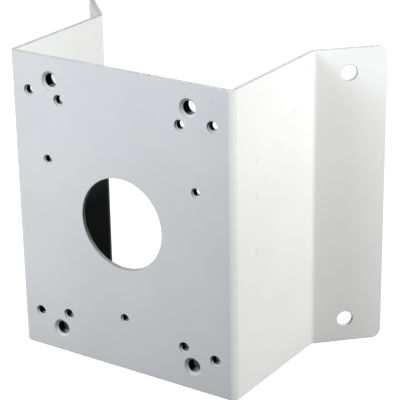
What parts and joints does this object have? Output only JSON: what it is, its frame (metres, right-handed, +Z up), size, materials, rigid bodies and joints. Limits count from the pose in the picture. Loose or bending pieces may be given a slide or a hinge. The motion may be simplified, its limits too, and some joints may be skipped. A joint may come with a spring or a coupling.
{
  "type": "camera corner bracket",
  "caption": "Folded steel bracket that carries a wall camera on a building's outside corner, with a cable hole, threaded hole patterns and angled fixing flanges.",
  "frame": {"origin": "middle of the bracket's footprint, on the surface that it stands on", "axes": "+Z up along the folds, -Y out of the front plate, +X to the right seen from the front"},
  "size_m": [0.2308, 0.1278, 0.2],
  "materials": {
    "powder_coat": "satin off-white powder coat with a fine orange-peel texture"
  },
  "bodies": {
    "root": {"corner_bracket": "powder_coat"}
  },
  "joints": []
}
